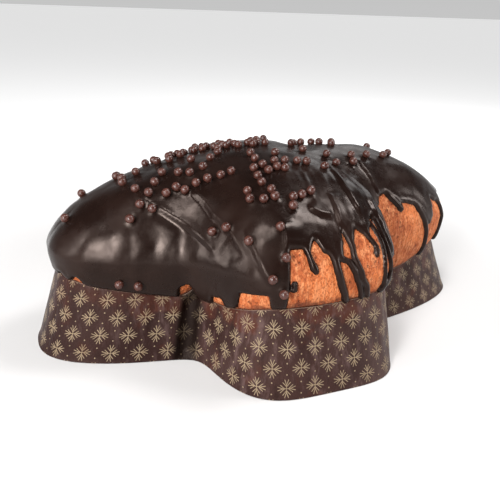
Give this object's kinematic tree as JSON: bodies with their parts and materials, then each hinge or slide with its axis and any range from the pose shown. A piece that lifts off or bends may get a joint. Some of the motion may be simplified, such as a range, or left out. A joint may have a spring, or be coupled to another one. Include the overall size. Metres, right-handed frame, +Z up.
{
  "type": "colomba cake",
  "caption": "Dove-shaped leavened cake with rounded lobes in a printed paper case, under glossy dark chocolate glaze that drips over the crust and is strewn with chocolate pearls.",
  "frame": {"origin": "middle of the paper case's base, on the surface that it stands on", "axes": "+X from the tail lobe to the head lobe, +Y towards the wing that the picture hides, +Z up"},
  "size_m": [0.3, 0.211, 0.1178],
  "materials": {
    "printed_paper": "dark plum-brown baking paper with a beige starburst print",
    "baked_crust": "matte baked crust",
    "dark_chocolate": "glossy set dark chocolate"
  },
  "bodies": {
    "root": {"paper_case": "printed_paper", "loaf": "baked_crust", "glaze": "dark_chocolate"}
  },
  "joints": []
}
